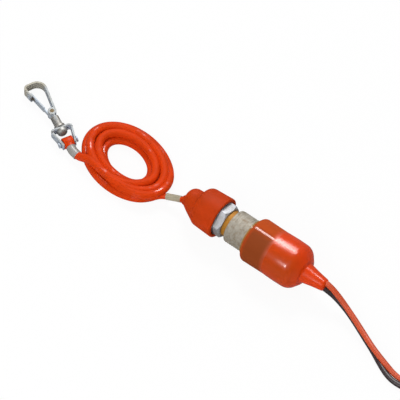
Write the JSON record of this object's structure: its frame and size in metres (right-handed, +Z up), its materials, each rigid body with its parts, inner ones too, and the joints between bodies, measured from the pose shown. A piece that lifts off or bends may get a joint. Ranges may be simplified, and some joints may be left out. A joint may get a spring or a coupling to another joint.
{
  "type": "outboard kill switch",
  "caption": "Panel kill switch with a red rubber boot, hexagon nut, pull-off red cap, coiled red lanyard with a swivel snap hook, and two leads with ring terminals.",
  "frame": {"origin": "on the surface it lies on, under the middle of the switch without lanyard, hook and leads", "axes": "+X along the switch from the cap to the leads, +Z up"},
  "size_m": [0.2803, 0.0804, 0.025],
  "materials": {
    "red_rubber": "gloss",
    "red_cap": "satin",
    "red_cord": "gloss",
    "clear_sleeve": "satin",
    "plated_steel": "bright",
    "zinc_barrel": "rough",
    "bright_strip": "bright",
    "brass_parts": "satin",
    "spring_steel": "satin",
    "dark_moulding": "matt",
    "pale_moulding": "matt",
    "seal_rubber": "matt",
    "lead_red": "satin",
    "lead_black": "satin",
    "terminal_tin": "satin"
  },
  "bodies": {
    "switch": {"rubber_boot": "red_rubber", "threaded_bushing": "zinc_barrel", "panel_nut": "plated_steel", "switch_can": "spring_steel", "insulating_liner": "pale_moulding", "contact_blade_left": "brass_parts", "contact_blade_right": "brass_parts", "terminal_base": "dark_moulding", "return_spring": "spring_steel", "inner_lead_red": "lead_red", "inner_lead_black": "lead_black", "lead_red": "lead_red", "lead_black": "lead_black", "ring_terminal_red": "terminal_tin", "ring_terminal_black": "terminal_tin", "terminal_sleeve_red": "lead_red", "terminal_sleeve_black": "lead_black"},
    "plunger": {"plunger": "pale_moulding", "plunger_o_ring": "seal_rubber", "contact_bridge": "brass_parts", "retaining_clip": "spring_steel"},
    "kill_cap": {"cap_shell": "red_cap", "cap_insert": "dark_moulding", "snap_ring": "spring_steel", "cord_anchor": "terminal_tin", "lanyard_cap_tail": "red_cord", "lanyard_coil": "red_cord", "lanyard_hook_tail": "red_cord", "sleeve_cap_end": "clear_sleeve", "sleeve_hook_end": "clear_sleeve", "lanyard_eye": "red_cord"},
    "bow": {"swivel_bow": "bright_strip", "bow_pin": "bright_strip"},
    "hook": {"swivel_post": "plated_steel", "hook_strip": "bright_strip", "gate_pin": "plated_steel"},
    "gate": {"gate_leaf": "bright_strip"}
  },
  "joints": [
    {"name": "cap_pull", "type": "slide", "parent": "switch", "child": "kill_cap", "axis": [-1, 0, 0], "range_m": [0, 0.02]},
    {"name": "plunger_travel", "type": "slide", "parent": "switch", "child": "plunger", "axis": [-1, 0, 0], "range_m": [0, 0.003], "deforming": ["return_spring"]},
    {"name": "bow_pivot", "type": "hinge", "parent": "kill_cap", "child": "bow", "pos_m": [-0.11418, -0.00706, 0.0031], "axis": [0.454, 0.891, 0], "range_deg": [0, 90]},
    {"name": "hook_swivel", "type": "hinge", "parent": "bow", "child": "hook", "pos_m": [-0.11979, -0.0042, 0.0031], "axis": [-0.891, 0.454, 0], "continuous": true},
    {"name": "gate_flex", "type": "hinge", "parent": "hook", "child": "gate", "pos_m": [-0.13165, 0.00184, 0.0031], "axis": [0, 0, -1], "range_deg": [0, 18], "stiffness_Nm_per_rad": 0.02}
  ],
  "couplings": [
    {"joint": "plunger_travel", "follows": "cap_pull", "ratio": 0.15}
  ]
}
